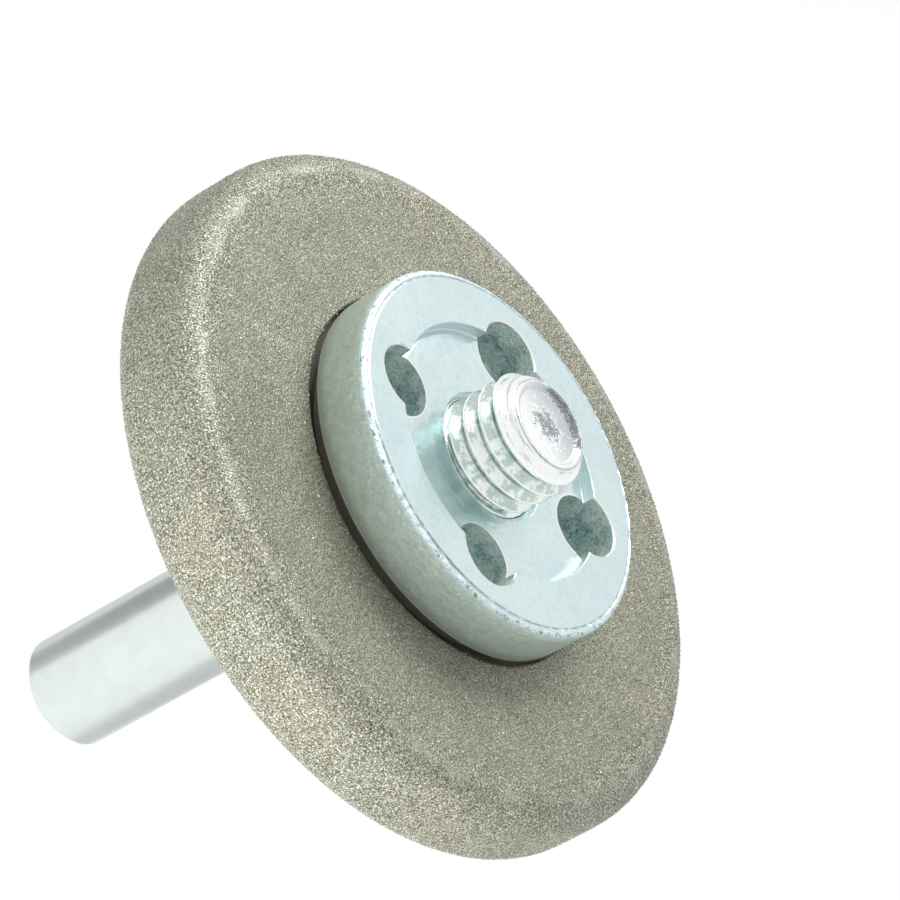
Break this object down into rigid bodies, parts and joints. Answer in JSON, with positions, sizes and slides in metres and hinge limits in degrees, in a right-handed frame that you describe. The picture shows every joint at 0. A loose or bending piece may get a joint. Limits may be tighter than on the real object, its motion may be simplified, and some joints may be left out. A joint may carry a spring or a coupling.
{
  "type": "sharpening wheel",
  "caption": "Round coated grinding wheel clamped by a pin-hole lock nut on a threaded arbor with a plain round shank, for sharpening blades in a drill.",
  "frame": {"origin": "centre of the flat end of the shank, on the common axis", "axes": "+Z along the common axis, from the shank's flat end towards the nut and the threaded stud; +X through the middle of one pin hole"},
  "size_m": [0.056, 0.056, 0.0509],
  "materials": {
    "abrasive_coating": "plated abrasive grit, olive grey, fine sparkle",
    "zinc_plating": "bluish white zinc plating, slightly glossy",
    "turned_steel": "bright turned and plated steel, satin"
  },
  "bodies": {
    "root": {"grinding_wheel": "abrasive_coating", "lock_nut": "zinc_plating", "inner_flange": "zinc_plating", "arbor": "turned_steel"}
  },
  "joints": []
}
